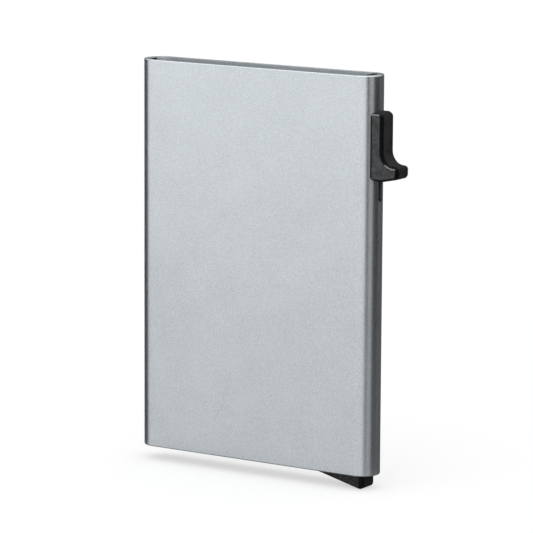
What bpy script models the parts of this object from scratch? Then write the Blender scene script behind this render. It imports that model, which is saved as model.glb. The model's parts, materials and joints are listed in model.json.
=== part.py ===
# Pop-up card holder: an extruded aluminium case whose side slider works a stepped lever.
#
# Frame: the case stands upright, +Z up, its front broad face towards -Y, the slider on its +X side.
# Lengths below are measured from the case itself: x from its middle, y from its middle plane and
# z from its bottom edge. The lever's heel reaches below the case, so the case stands on top of that
# overhang, and the world's origin lies under the middle of the whole object.

import math

import bmesh
import bpy
from mathutils import Vector

MM = 0.001

# Cards that the holder is made for
CARD_WIDTH = 54.0 * MM
CARD_HEIGHT = 85.6 * MM
CARD_COUNT = 5
CARD_PITCH = 0.88 * MM
CARD_SIDE_PLAY = 0.45 * MM
CARD_FACE_PLAY = 0.4 * MM
CARD_BELOW_RIM = 1.4 * MM

# Case: one extruded tube with full round narrow sides
FACE_WALL = 1.0 * MM
SIDE_WALL = 1.6 * MM
RIM_CHAMFER = 0.22 * MM
ROUND_STEPS = 18

# Gaps between neighbours
SEAT_GAP = 0.3 * MM
PRESS_GAP = 0.25 * MM
PIN_GAP = 0.12 * MM
BORE_GAP = 0.06 * MM
SLIDER_GAP = 0.15 * MM
OVERRUN = 1.0 * MM

# Motion: the slider goes straight down and turns the lever through the push rod
SLIDER_TRAVEL = 6.0 * MM
NUB_REACH = 11.5 * MM

# Slot and the tongue that runs in it
SLOT_WIDTH = 1.3 * MM
TONGUE_THICKNESS = 0.8 * MM
TONGUE_ABOVE_FOOT = 1.4 * MM
TONGUE_HEIGHT = 7.4 * MM

# Thumb slider, seen from the front an L with a hollow for the thumb above its foot
PAD_WIDTH_SHARE = 0.7
PAD_BELOW_RIM = 8.8 * MM
PAD_ABOVE_FOOT = 12.53 * MM
PAD_WRAP = 1.5 * MM
PAD_STAND_OFF = 1.65 * MM
PAD_SKIN = 0.6 * MM
PAD_CORNER = 1.3 * MM
WRAP_CORNER = 1.2 * MM
PAD_EDGE = 0.3 * MM
THUMB_HOLLOW = 3.3 * MM
FOOT_TOP_LAND = 0.25 * MM
FOOT_TIP_CORNER = 0.85 * MM
FOOT_TIP_FLAT = 1.2 * MM
FOOT_RISE = 0.87 * MM
ARC_STEPS = 7
EDGE_STEPS = 3

# Carriage behind the slot, the steel push rod and the rivets that join them
CARRIAGE_HEIGHT = 10.0 * MM
CARRIAGE_WIDTH = 3.0 * MM
CARRIAGE_BACK = 2.6 * MM
CARRIAGE_BELOW_TONGUE = 1.3 * MM
ROD_THICKNESS = 0.8 * MM
ROD_WIDTH = 1.8 * MM
ROD_LAP = 5.0 * MM
ROD_BACK_LAND = 0.45 * MM
ROD_FOOT_WIDTH = 2.7 * MM
ROD_FOOT_HEIGHT = 1.2 * MM
RIVET_RADIUS = 0.4 * MM
RIVET_EDGE = 1.5 * MM
RIVET_SPACING = 2.1 * MM
RIVET_STEPS = 12

# Base block, which closes the case below the cards and carries the lever
PIN_BELOW_LEDGE = 4.2 * MM
FINGER_WALL = 0.6 * MM
FINGER_END_GAP = 1.2 * MM
CHEEK_HALF_LENGTH = 2.6 * MM
CHEEK_GAP = 0.25 * MM
BRIDGE_WIDTH = 3.4 * MM
BRIDGE_DEPTH = 1.3 * MM

# Base plate and its screws
PLATE_INSET = 0.3 * MM
PLATE_THICKNESS = 1.0 * MM
PLATE_BEFORE_PIN = 3.4 * MM
SCREW_RADIUS = 0.55 * MM
SCREW_HEAD_RADIUS = 1.15 * MM
SCREW_HEAD_HEIGHT = 0.6 * MM
SCREW_LENGTH = 4.6 * MM
SCREW_SOCKET_RADIUS = 0.5 * MM
SCREW_SOCKET_DEPTH = 0.45 * MM
SCREW_EDGE = 5.0 * MM
SCREW_SPACING = 6.6 * MM
SCREW_STEPS = 18
SOCKET_SIDES = 6

# Ejector lever: a stepped fan of fingers, a hub, a nub for the push rod and a heel
PIN_ABOVE_PLATE = 3.5 * MM
HUB_RADIUS = 2.2 * MM
HUB_INSET = 0.5 * MM
WEB_HALF_HEIGHT = 0.93 * MM
NUB_RADIUS = 1.3 * MM
FINGER_END_INSET = 15.65 * MM
FINGER_STEP_SHARE = 0.118
FINGER_CARD_GAP = 0.4 * MM
FINGER_TIP_DEPTH = 2.8 * MM
FINGER_ROOT_BELOW_PIN = 2.4 * MM
FINGER_ROOT = 4.8 * MM
CORE_LAP = 1.8 * MM
CORE_INSET = 0.2 * MM
HEEL_BESIDE_STACK = 0.5 * MM
HEEL_LIP = 0.3 * MM
HEEL_TOP = 3.3 * MM
HEEL_CLEARANCE = 0.8 * MM
HEEL_DROP = 3.4 * MM
HEEL_SLOPE_SHARE = 0.25
HEEL_CORNER = 0.9 * MM
HEEL_EDGE = 0.4 * MM

# Lever pin and the torsion spring round it
PIN_RADIUS = 0.75 * MM
PIN_STEPS = 20
SPRING_WIRE_RADIUS = 0.17 * MM
SPRING_RADIUS = 1.3 * MM
SPRING_TURNS = 2.25
SPRING_PITCH = 0.5 * MM
SPRING_POINTS_PER_TURN = 10
SPRING_SIDE = 0.1 * MM
SPRING_POCKET_RADIUS = 2.6 * MM
SPRING_LEG = 3.3 * MM
SPRING_LEG_LEAN = 0.75 * MM
LEG_SLOT_HEIGHT = 1.0 * MM

# Guide rails beside the cards
RAIL_WIDTH = 4.2 * MM
RAIL_BELOW_RIM = 2.5 * MM
ROD_GROOVE_WIDTH = 1.4 * MM
ROD_WALL = 0.6 * MM
CARRIAGE_POCKET_WIDTH = 3.6 * MM

# Felt strips on the broad walls and the rubber stop under the lever
FELT_WIDTH = 6.0 * MM
FELT_THICKNESS = 0.6 * MM
FELT_GLUE = 0.15 * MM
FELT_OFFSET_SHARE = 0.296
FELT_ABOVE_LEDGE = 11.0 * MM
FELT_BELOW_RIM = 16.0 * MM
STOP_WIDTH = 3.2 * MM
STOP_LENGTH = 5.0 * MM
STOP_BEFORE_PIN = 8.0 * MM

# Heights in the foot of the case, from the plate up to the ledge that the cards stand on
PLATE_TOP = PLATE_INSET + PLATE_THICKNESS
BLOCK_BOTTOM = PLATE_TOP + SEAT_GAP
PIVOT_Z = PLATE_TOP + PIN_ABOVE_PLATE
LEDGE_HEIGHT = PIVOT_Z + PIN_BELOW_LEDGE

# The case round the cards, the felt and the rails
STACK_HALF = CARD_COUNT * CARD_PITCH / 2
CARD_EDGE = CARD_WIDTH / 2 + CARD_SIDE_PLAY
CASE_HEIGHT = LEDGE_HEIGHT + CARD_HEIGHT + CARD_BELOW_RIM
INNER_END = CARD_EDGE + RAIL_WIDTH
HALF_WIDTH = INNER_END + SIDE_WALL
INNER_HALF_THICKNESS = STACK_HALF + CARD_FACE_PLAY + FELT_THICKNESS + FELT_GLUE
HALF_THICKNESS = INNER_HALF_THICKNESS + FACE_WALL
OUTER_ROUND_X = HALF_WIDTH - HALF_THICKNESS
INNER_ROUND_X = INNER_END - INNER_HALF_THICKNESS
BLOCK_HALF = INNER_HALF_THICKNESS - PRESS_GAP
RAIL_TOP = CASE_HEIGHT - RAIL_BELOW_RIM

# The slider and its slot
PAD_WIDTH = 2 * HALF_THICKNESS * PAD_WIDTH_SHARE
PAD_TOP = CASE_HEIGHT - PAD_BELOW_RIM
PAD_OUTER = HALF_WIDTH + PAD_STAND_OFF
PAD_INNER = HALF_WIDTH - PAD_WRAP
FOOT_TOP = PAD_TOP - PAD_ABOVE_FOOT
FOOT_TIP = PAD_OUTER + THUMB_HOLLOW + FOOT_TOP_LAND + FOOT_TIP_CORNER
FOOT_TIP_BOTTOM = FOOT_TOP - FOOT_TIP_FLAT - 2 * FOOT_TIP_CORNER
FOOT_ROOT_BOTTOM = FOOT_TIP_BOTTOM - FOOT_RISE
TONGUE_BOTTOM = FOOT_ROOT_BOTTOM + TONGUE_ABOVE_FOOT
TONGUE_END = PAD_OUTER - PAD_SKIN - SLIDER_GAP
SLOT_BOTTOM = TONGUE_BOTTOM - SLIDER_TRAVEL - SEAT_GAP
SLOT_TOP = TONGUE_BOTTOM + TONGUE_HEIGHT + SEAT_GAP

# The nub, measured from the pin: at half travel it is level with it, right under the rod's middle
HALF_SWING = math.asin(SLIDER_TRAVEL / 2 / NUB_REACH)
NUB_X = NUB_REACH * math.cos(HALF_SWING)
NUB_Z = NUB_REACH * math.sin(HALF_SWING)

# The carriage behind the slot and the rod down to the nub
CARRIAGE_BOTTOM = TONGUE_BOTTOM - CARRIAGE_BELOW_TONGUE
CARRIAGE_FACE = INNER_ROUND_X + math.sqrt(INNER_HALF_THICKNESS ** 2 - (CARRIAGE_WIDTH / 2) ** 2) - SEAT_GAP
ROD_RIGHT = CARRIAGE_FACE - ROD_BACK_LAND - SLIDER_GAP
ROD_MIDDLE = ROD_RIGHT - ROD_WIDTH / 2
ROD_BOTTOM = PIVOT_Z + NUB_Z + NUB_RADIUS + SEAT_GAP
ROD_TOP = CARRIAGE_BOTTOM + ROD_LAP

# The lever, whose own sizes are measured from the pin
PIVOT_X = ROD_MIDDLE - NUB_REACH
HUB_HALF_WIDTH = STACK_HALF - HUB_INSET
FINGER_END = FINGER_END_INSET - INNER_END
LONGEST_FINGER = PIVOT_X - FINGER_END
FINGER_TOP = PIN_BELOW_LEDGE - FINGER_CARD_GAP
HEEL_HALF_WIDTH = STACK_HALF + HEEL_BESIDE_STACK
HEEL_END = NUB_X + NUB_RADIUS + HEEL_LIP
HEEL_BOTTOM = -HEEL_DROP - PIVOT_Z
CHEEK_LEFT = PIVOT_X - CHEEK_HALF_LENGTH
CHEEK_RIGHT = PIVOT_X + CHEEK_HALF_LENGTH
CHEEK_BOTTOM = PIVOT_Z - HEEL_TOP + HEEL_CLEARANCE
PLATE_RIGHT_END = PIVOT_X - PLATE_BEFORE_PIN
SCREW_OUTER_X = SCREW_EDGE - INNER_END

# The whole object is centred over the world's origin and its heel stands at z = 0
CASE_X = -(FOOT_TIP - HALF_WIDTH) / 2
CASE_Z = HEEL_DROP


def clear_scene():
    for old in list(bpy.data.objects):
        bpy.data.objects.remove(old)


def make_material(name, colour, roughness, metallic=0.0):
    material = bpy.data.materials.new(name)
    material.use_nodes = True
    shader = material.node_tree.nodes["Principled BSDF"]
    shader.inputs["Base Color"].default_value = (*colour, 1.0)
    shader.inputs["Roughness"].default_value = roughness
    shader.inputs["Metallic"].default_value = metallic
    return material


def add_empty(name, place, parent=None):
    empty = bpy.data.objects.new(name, None)
    bpy.context.collection.objects.link(empty)
    empty.parent = parent
    empty.location = place
    return empty


def add_mesh(name, bm, material=None, origin=(0.0, 0.0, 0.0), parent=None):
    """Make an object of a bmesh; its own origin goes to the given place of its parent's frame."""
    bmesh.ops.recalc_face_normals(bm, faces=bm.faces)
    bmesh.ops.translate(bm, verts=bm.verts, vec=-Vector(origin))
    mesh = bpy.data.meshes.new(name)
    bm.to_mesh(mesh)
    bm.free()
    mesh.shade_smooth()
    mesh.set_sharp_from_angle(angle=math.radians(30))
    piece = bpy.data.objects.new(name, mesh)
    bpy.context.collection.objects.link(piece)
    piece.parent = parent
    piece.location = origin
    if material:
        mesh.materials.append(material)
    return piece


def arc(centre, radius, start, end, steps):
    """Points on an arc; the angles are in degrees."""
    points = []
    for i in range(steps + 1):
        angle = math.radians(start + (end - start) * i / steps)
        points.append((centre[0] + radius * math.cos(angle), centre[1] + radius * math.sin(angle)))
    return points


def rectangle(low, high):
    return [(low[0], low[1]), (high[0], low[1]), (high[0], high[1]), (low[0], high[1])]


def round_ended(round_x, radius):
    """The outline of the case seen from above: two straight faces and two half circles."""
    right = arc((round_x, 0.0), radius, -90, 90, ROUND_STEPS)
    left = arc((-round_x, 0.0), radius, 90, 270, ROUND_STEPS)
    return right + left


def to_space(axis, along, point):
    """Put a flat outline's point into space, with its plane square to the axis."""
    if axis == "X":
        return (along, point[0], point[1])
    if axis == "Y":
        return (point[0], along, point[1])
    return (point[0], point[1], along)


def prism(outline, axis, low, high):
    """A closed solid: a flat outline carried along an axis."""
    bm = bmesh.new()
    start = [bm.verts.new(to_space(axis, low, p)) for p in outline]
    end = [bm.verts.new(to_space(axis, high, p)) for p in outline]
    bm.faces.new(start)
    bm.faces.new(end)
    for i in range(len(outline)):
        j = (i + 1) % len(outline)
        bm.faces.new((start[i], start[j], end[j], end[i]))
    return bm


def round_bar(centre, axis, radius, low, high, steps):
    return prism(arc(centre, radius, 0, 360 - 360 / steps, steps - 1), axis, low, high)


def turned(profile, steps, place):
    """A closed solid of revolution about an upright line; the profile runs from axis to axis."""
    bm = bmesh.new()
    rings = []
    for radius, height in profile[1:-1]:
        ring = []
        for x, y in arc((place[0], place[1]), radius, 0, 360 - 360 / steps, steps - 1):
            ring.append(bm.verts.new((x, y, height)))
        rings.append(ring)
    bottom = bm.verts.new((place[0], place[1], profile[0][1]))
    top = bm.verts.new((place[0], place[1], profile[-1][1]))
    for i in range(steps):
        j = (i + 1) % steps
        bm.faces.new((bottom, rings[0][i], rings[0][j]))
        bm.faces.new((top, rings[-1][i], rings[-1][j]))
        for lower, upper in zip(rings, rings[1:]):
            bm.faces.new((lower[i], lower[j], upper[j], upper[i]))
    return bm


def shape(piece, bm, operation, origin=(0.0, 0.0, 0.0)):
    """Cut a shape out of a piece, or join it on, by a Boolean modifier with a hidden tool."""
    tool = add_mesh(piece.name + "_tool", bm, origin=origin, parent=piece.parent)
    tool.hide_render = True
    tool.display_type = "WIRE"
    modifier = piece.modifiers.new(operation.title(), "BOOLEAN")
    modifier.operation = operation
    modifier.solver = "EXACT"
    modifier.object = tool
    return tool


def cut(piece, bm, origin=(0.0, 0.0, 0.0)):
    return shape(piece, bm, "DIFFERENCE", origin)


def join(piece, bm, origin=(0.0, 0.0, 0.0)):
    return shape(piece, bm, "UNION", origin)


def add_edge_round(piece, width):
    """Round the edges between the flat faces and the walls, and leave the arcs as they are."""
    bevel = piece.modifiers.new("Edge", "BEVEL")
    bevel.width = width
    bevel.segments = EDGE_STEPS
    bevel.limit_method = "ANGLE"
    bevel.angle_limit = math.radians(50)
    bevel.use_clamp_overlap = False


def build_case_shell(frame, material):
    """The tube: outer and inner walls, their chamfers at both rims, and the slot on the +X side."""
    outer = HALF_THICKNESS
    inner = INNER_HALF_THICKNESS
    levels = [
        (OUTER_ROUND_X, outer - RIM_CHAMFER, 0.0),
        (OUTER_ROUND_X, outer, RIM_CHAMFER),
        (OUTER_ROUND_X, outer, CASE_HEIGHT - RIM_CHAMFER),
        (OUTER_ROUND_X, outer - RIM_CHAMFER, CASE_HEIGHT),
        (INNER_ROUND_X, inner + RIM_CHAMFER, CASE_HEIGHT),
        (INNER_ROUND_X, inner, CASE_HEIGHT - RIM_CHAMFER),
        (INNER_ROUND_X, inner, RIM_CHAMFER),
        (INNER_ROUND_X, inner + RIM_CHAMFER, 0.0),
    ]
    bm = bmesh.new()
    loops = []
    for round_x, radius, height in levels:
        loops.append([bm.verts.new((x, y, height)) for x, y in round_ended(round_x, radius)])
    count = len(loops[0])
    for lower, upper in zip(loops, loops[1:] + loops[:1]):
        for i in range(count):
            j = (i + 1) % count
            bm.faces.new((lower[i], lower[j], upper[j], upper[i]))
    shell = add_mesh("case_shell", bm, material, parent=frame)
    end = SLOT_WIDTH / 2
    slot = arc((0.0, SLOT_TOP - end), end, 0, 180, ARC_STEPS)
    slot += arc((0.0, SLOT_BOTTOM + end), end, 180, 360, ARC_STEPS)
    cut(shell, prism(slot, "X", INNER_ROUND_X, HALF_WIDTH + OVERRUN))
    return shell


def case_filling(left, right, bottom, top):
    """A solid that fills the inside of the case between two places, but for the press gap."""
    radius = BLOCK_HALF
    outline = []
    if right is None:
        outline += arc((INNER_ROUND_X, 0.0), radius, -90, 90, ROUND_STEPS)
    else:
        outline += [(right, -radius), (right, radius)]
    if left is None:
        outline += arc((-INNER_ROUND_X, 0.0), radius, 90, 270, ROUND_STEPS)
    else:
        outline += [(left, radius), (left, -radius)]
    return prism(outline, "Z", bottom, top)


def screw_places():
    return [("outer", SCREW_OUTER_X), ("inner", SCREW_OUTER_X + SCREW_SPACING)]


def build_base_block(frame, material):
    """Card ledge at the left, two thin walls beside the fingers, and cheeks that hold the pin."""
    block = add_mesh("base_block", case_filling(None, CARD_EDGE, BLOCK_BOTTOM, LEDGE_HEIGHT),
                     material, parent=frame)
    below = BLOCK_BOTTOM - OVERRUN
    above = LEDGE_HEIGHT + OVERRUN
    right = CARD_EDGE + OVERRUN
    finger_half = BLOCK_HALF - FINGER_WALL
    pocket_left = FINGER_END - FINGER_END_GAP
    hub_half = HUB_HALF_WIDTH + CHEEK_GAP
    cut(block, prism(rectangle((pocket_left, -finger_half), (CHEEK_LEFT, finger_half)),
                     "Z", below, above))
    bridge_left = CHEEK_RIGHT
    bridge_right = CHEEK_RIGHT + BRIDGE_WIDTH
    bridge_bottom = LEDGE_HEIGHT - BRIDGE_DEPTH
    hub_space = [
        (CHEEK_LEFT - SEAT_GAP, below), (right, below), (right, above), (bridge_right, above),
        (bridge_right, bridge_bottom), (bridge_left, bridge_bottom), (bridge_left, above),
        (CHEEK_LEFT - SEAT_GAP, above),
    ]
    cut(block, prism(hub_space, "Y", -hub_half, hub_half))
    heel_space = rectangle((CHEEK_LEFT, below), (right, CHEEK_BOTTOM))
    cut(block, prism(heel_space, "Y", -HALF_THICKNESS, HALF_THICKNESS))
    cut(block, round_bar((PIVOT_X, PIVOT_Z), "Y", PIN_RADIUS + PIN_GAP,
                         -HALF_THICKNESS, HALF_THICKNESS, PIN_STEPS))
    for _, x in screw_places():
        top = PLATE_INSET + SCREW_LENGTH + SEAT_GAP
        cut(block, round_bar((x, 0.0), "Z", SCREW_RADIUS + PIN_GAP, below, top, SCREW_STEPS))
    return block


def build_base_plate(frame, material):
    """The cover under the block, which ends short of the heel, with two countersunk holes."""
    plate = add_mesh("base_plate", case_filling(None, PLATE_RIGHT_END, PLATE_INSET, PLATE_TOP),
                     material, parent=frame)
    for _, x in screw_places():
        wide = SCREW_HEAD_RADIUS + PIN_GAP
        narrow = SCREW_RADIUS + PIN_GAP
        profile = [
            (0.0, PLATE_INSET - OVERRUN),
            (wide, PLATE_INSET - OVERRUN),
            (wide, PLATE_INSET),
            (narrow, PLATE_INSET + SCREW_HEAD_HEIGHT),
            (narrow, PLATE_TOP + OVERRUN),
            (0.0, PLATE_TOP + OVERRUN),
        ]
        cut(plate, turned(profile, SCREW_STEPS, (x, 0.0)))
    return plate


def build_base_screws(frame, material):
    """Countersunk screws driven upwards, heads flush with the underside of the plate."""
    for name, x in screw_places():
        profile = [
            (0.0, PLATE_INSET),
            (SCREW_HEAD_RADIUS, PLATE_INSET),
            (SCREW_RADIUS, PLATE_INSET + SCREW_HEAD_HEIGHT),
            (SCREW_RADIUS, PLATE_INSET + SCREW_LENGTH - SCREW_RADIUS),
            (0.0, PLATE_INSET + SCREW_LENGTH),
        ]
        screw = add_mesh("base_screw_" + name, turned(profile, SCREW_STEPS, (x, 0.0)),
                         material, parent=frame)
        cut(screw, round_bar((x, 0.0), "Z", SCREW_SOCKET_RADIUS, PLATE_INSET - OVERRUN,
                             PLATE_INSET + SCREW_SOCKET_DEPTH, SOCKET_SIDES))


def finger_fan():
    """Five fingers side by side: seen from above a stair, with a sloping underside."""
    outline = [(-FINGER_ROOT, -STACK_HALF)]
    for i in range(CARD_COUNT):
        reach = LONGEST_FINGER * (1 - FINGER_STEP_SHARE * (CARD_COUNT - 1 - i))
        front = -STACK_HALF + CARD_PITCH * i
        outline += [(-reach, front), (-reach, front + CARD_PITCH)]
    outline.append((-FINGER_ROOT, STACK_HALF))
    bm = prism(outline, "Z", 0.0, FINGER_TOP)
    span = LONGEST_FINGER - FINGER_ROOT
    for vert in bm.verts:
        if vert.co.z < FINGER_TOP / 2:
            share = (-FINGER_ROOT - vert.co.x) / span
            tip = FINGER_TOP - FINGER_TIP_DEPTH
            vert.co.z = tip * share - FINGER_ROOT_BELOW_PIN * (1 - share)
    return bm


def heel_underside(x):
    """Height of the heel's sloping underside at a distance from the pivot."""
    return HEEL_BOTTOM + (HEEL_END - HEEL_CORNER - x) * HEEL_SLOPE_SHARE


def lever_core():
    """Side view of the hub, the web to the nub and what ties them to the fingers and the heel."""
    swing = math.degrees(HALF_SWING)
    web_rise = WEB_HALF_HEIGHT / math.cos(HALF_SWING)
    slope = math.tan(HALF_SWING)
    root = -FINGER_ROOT - CORE_LAP
    root_bottom = -FINGER_ROOT_BELOW_PIN + CORE_INSET + CORE_LAP * slope
    web_start = HUB_RADIUS - CORE_INSET
    web_end = NUB_X - NUB_RADIUS - CORE_INSET
    core_bottom = -HEEL_TOP - WEB_HALF_HEIGHT
    core_right = NUB_X + NUB_RADIUS
    outline = [
        (root, root_bottom),
        (-HUB_RADIUS, root_bottom),
        (CORE_INSET, core_bottom),
        (core_right, core_bottom),
    ]
    outline += arc((NUB_X, NUB_Z), NUB_RADIUS, 0, 180 - 2 * swing, ARC_STEPS)
    outline += [
        (web_end, web_end * slope + web_rise),
        (web_start, web_start * slope + web_rise),
        (0.0, HUB_RADIUS),
        (-HUB_RADIUS, FINGER_TOP - CORE_INSET),
        (root, FINGER_TOP - CORE_INSET),
    ]
    return outline


def heel_outline():
    """Side view of the wedge that stands out under the case, with its rounded toe."""
    left = 0.0
    toe = (HEEL_END - HEEL_CORNER, HEEL_BOTTOM + HEEL_CORNER)
    down = 270 - math.degrees(math.atan(HEEL_SLOPE_SHARE))
    outline = [(left, -HEEL_TOP), (left, heel_underside(left))]
    outline += arc(toe, HEEL_CORNER, down, 360, ARC_STEPS)
    outline.append((HEEL_END, -HEEL_TOP))
    return outline


def heel_neck():
    """What is cut off the heel inside the case, so that it clears the tube's round end."""
    centre = INNER_ROUND_X - PIVOT_X
    outside = HEEL_HALF_WIDTH + OVERRUN
    end = HEEL_END + OVERRUN
    outline = arc((centre, 0.0), INNER_HALF_THICKNESS - SEAT_GAP, -90, 90, ROUND_STEPS)
    outline += [(centre, outside), (end, outside), (end, -outside), (centre, -outside)]
    return prism(outline, "Z", -PIVOT_Z - SEAT_GAP, OVERRUN - HEEL_TOP)


def build_ejector_lever(frame, material):
    """The stepped lever, with its origin on the pin's axis."""
    pivot = (PIVOT_X, 0.0, PIVOT_Z)
    half = HEEL_HALF_WIDTH
    axis = add_empty("lever_axis", pivot, frame)
    lever = add_mesh("ejector_lever", prism(heel_outline(), "Y", -half, half), material, parent=axis)
    add_edge_round(lever, HEEL_EDGE)
    cut(lever, heel_neck())
    join(lever, prism(lever_core(), "Y", -HUB_HALF_WIDTH, HUB_HALF_WIDTH))
    join(lever, finger_fan())
    spring_side = HUB_HALF_WIDTH + OVERRUN
    cut(lever, round_bar((0.0, 0.0), "Y", SPRING_POCKET_RADIUS, SPRING_SIDE, spring_side, PIN_STEPS))
    leg_end = SPRING_LEG + 2 * SEAT_GAP
    leg_low = -SPRING_RADIUS - LEG_SLOT_HEIGHT / 2
    leg_slot = rectangle((-leg_end, leg_low), (0.0, leg_low + LEG_SLOT_HEIGHT))
    cut(lever, prism(leg_slot, "Y", SPRING_SIDE, spring_side))
    cut(lever, round_bar((0.0, 0.0), "Y", PIN_RADIUS + BORE_GAP, -half - OVERRUN, half + OVERRUN,
                         PIN_STEPS))
    return lever


def build_lever_pin(frame, material):
    """Steel pin that the lever turns on, trapped between the case's broad walls."""
    end = BLOCK_HALF - PIN_GAP
    bar = round_bar((PIVOT_X, PIVOT_Z), "Y", PIN_RADIUS, -end, end, PIN_STEPS)
    return add_mesh("lever_pin", bar, material, parent=frame)


def spring_route():
    """Upright leg, coil round the pin and flat leg, as points from the pivot."""
    top = HUB_HALF_WIDTH - SPRING_SIDE
    points = [(SPRING_RADIUS + SPRING_LEG_LEAN, top, SPRING_LEG)]
    count = int(SPRING_TURNS * SPRING_POINTS_PER_TURN)
    for i in range(count + 1):
        turn = SPRING_TURNS * i / count
        angle = -2 * math.pi * turn
        x = SPRING_RADIUS * math.cos(angle)
        z = SPRING_RADIUS * math.sin(angle)
        points.append((x, top - SPRING_PITCH * turn, z))
    points.append((-SPRING_LEG, top - SPRING_PITCH * SPRING_TURNS, -SPRING_RADIUS))
    return points


def build_return_spring(frame, material):
    """Torsion spring of round wire; one leg bears on the block, the other in the lever's slot."""
    route = spring_route()
    curve = bpy.data.curves.new("return_spring", "CURVE")
    curve.dimensions = "3D"
    curve.bevel_depth = SPRING_WIRE_RADIUS
    curve.bevel_resolution = 1
    curve.use_fill_caps = True
    spline = curve.splines.new("POLY")
    spline.points.add(len(route) - 1)
    for point, place in zip(spline.points, route):
        point.co = (*place, 1.0)
    curve.materials.append(material)
    spring = bpy.data.objects.new("return_spring", curve)
    bpy.context.collection.objects.link(spring)
    spring.parent = frame
    spring.location = (PIVOT_X, 0.0, PIVOT_Z)
    gap = SPRING_PITCH - 2 * SPRING_WIRE_RADIUS
    print("return_spring gap between turns, mm:", round(gap / MM, 3))
    return spring


def slider_outline():
    """Front view of the thumb slider: pad, thumb hollow and a foot whose underside rises to its tip."""
    root = (PAD_INNER + WRAP_CORNER, FOOT_ROOT_BOTTOM + WRAP_CORNER)
    tip_low = (FOOT_TIP - FOOT_TIP_CORNER, FOOT_TIP_BOTTOM + FOOT_TIP_CORNER)
    tip_high = (FOOT_TIP - FOOT_TIP_CORNER, FOOT_TOP - FOOT_TIP_CORNER)
    hollow = (PAD_OUTER + THUMB_HOLLOW, FOOT_TOP + THUMB_HOLLOW)
    down = 270 + math.degrees(math.atan2(FOOT_RISE, tip_low[0] - root[0]))
    outline = arc(root, WRAP_CORNER, 180, down, ARC_STEPS)
    outline += arc(tip_low, FOOT_TIP_CORNER, down, 360, ARC_STEPS)
    outline += arc(tip_high, FOOT_TIP_CORNER, 0, 90, ARC_STEPS)
    outline += arc(hollow, THUMB_HOLLOW, 270, 180, ARC_STEPS + 2)
    outline += arc((PAD_OUTER - PAD_CORNER, PAD_TOP - PAD_CORNER), PAD_CORNER, 0, 90, ARC_STEPS)
    outline += arc((PAD_INNER + WRAP_CORNER, PAD_TOP - WRAP_CORNER), WRAP_CORNER, 90, 180, ARC_STEPS)
    return outline


def build_thumb_slider(frame, material):
    """The moulded thumb piece: hugs the round side and has a blind pocket for the tongue."""
    half = PAD_WIDTH / 2
    slider = add_mesh("thumb_slider", prism(slider_outline(), "Y", -half, half), material, parent=frame)
    add_edge_round(slider, PAD_EDGE)
    case_side = arc((OUTER_ROUND_X, 0.0), HALF_THICKNESS + SLIDER_GAP, -90, 90, 2 * ROUND_STEPS)
    case_side += [(0.0, half + HALF_THICKNESS), (0.0, -half - HALF_THICKNESS)]
    cut(slider, prism(case_side, "Z", FOOT_ROOT_BOTTOM - OVERRUN, PAD_TOP + OVERRUN))
    pocket_half = TONGUE_THICKNESS / 2 + SLIDER_GAP
    pocket_end = TONGUE_END + SLIDER_GAP
    pocket = rectangle((OUTER_ROUND_X, TONGUE_BOTTOM - SLIDER_GAP),
                       (pocket_end, TONGUE_BOTTOM + TONGUE_HEIGHT + SLIDER_GAP))
    cut(slider, prism(pocket, "Y", -pocket_half, pocket_half))
    return slider


def rivet_places():
    lower = CARRIAGE_BOTTOM + RIVET_EDGE
    return [("lower", lower), ("upper", lower + RIVET_SPACING)]


def build_slide_carriage(frame, material):
    """The block that runs behind the slot, with a tongue that reaches out through it."""
    half = CARRIAGE_WIDTH / 2
    body = rectangle((CARRIAGE_FACE - CARRIAGE_BACK, CARRIAGE_BOTTOM),
                     (CARRIAGE_FACE, CARRIAGE_BOTTOM + CARRIAGE_HEIGHT))
    carriage = add_mesh("slide_carriage", prism(body, "Y", -half, half), material, parent=frame)
    tongue = rectangle((CARRIAGE_FACE - ROD_BACK_LAND / 2, TONGUE_BOTTOM),
                       (TONGUE_END, TONGUE_BOTTOM + TONGUE_HEIGHT))
    tongue_half = TONGUE_THICKNESS / 2
    join(carriage, prism(tongue, "Y", -tongue_half, tongue_half))
    notch_half = ROD_THICKNESS / 2 + SLIDER_GAP
    notch = rectangle((CARRIAGE_FACE - CARRIAGE_BACK - OVERRUN, CARRIAGE_BOTTOM - OVERRUN),
                      (ROD_RIGHT + SLIDER_GAP, ROD_TOP + SLIDER_GAP))
    cut(carriage, prism(notch, "Y", -notch_half, notch_half))
    for _, z in rivet_places():
        cut(carriage, round_bar((ROD_MIDDLE, z), "Y", RIVET_RADIUS + PIN_GAP,
                                -half - OVERRUN, half + OVERRUN, RIVET_STEPS))
    return carriage


def build_push_rod(frame, material):
    """Steel strip from the carriage down to the lever's nub, with a wider foot."""
    left = ROD_RIGHT - ROD_WIDTH
    foot_right = ROD_MIDDLE + ROD_FOOT_WIDTH / 2
    foot_left = ROD_MIDDLE - ROD_FOOT_WIDTH / 2
    foot_top = ROD_BOTTOM + ROD_FOOT_HEIGHT
    outline = [
        (foot_left, ROD_BOTTOM), (foot_right, ROD_BOTTOM), (foot_right, foot_top),
        (ROD_RIGHT, foot_top), (ROD_RIGHT, ROD_TOP), (left, ROD_TOP),
        (left, foot_top), (foot_left, foot_top),
    ]
    half = ROD_THICKNESS / 2
    rod = add_mesh("push_rod", prism(outline, "Y", -half, half), material, parent=frame)
    for _, z in rivet_places():
        cut(rod, round_bar((ROD_MIDDLE, z), "Y", RIVET_RADIUS + PIN_GAP,
                           -half - OVERRUN, half + OVERRUN, RIVET_STEPS))
    return rod


def build_rod_rivets(frame, material):
    half = CARRIAGE_WIDTH / 2
    for name, z in rivet_places():
        bar = round_bar((ROD_MIDDLE, z), "Y", RIVET_RADIUS, -half, half, RIVET_STEPS)
        add_mesh("rod_rivet_" + name, bar, material, parent=frame)


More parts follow.
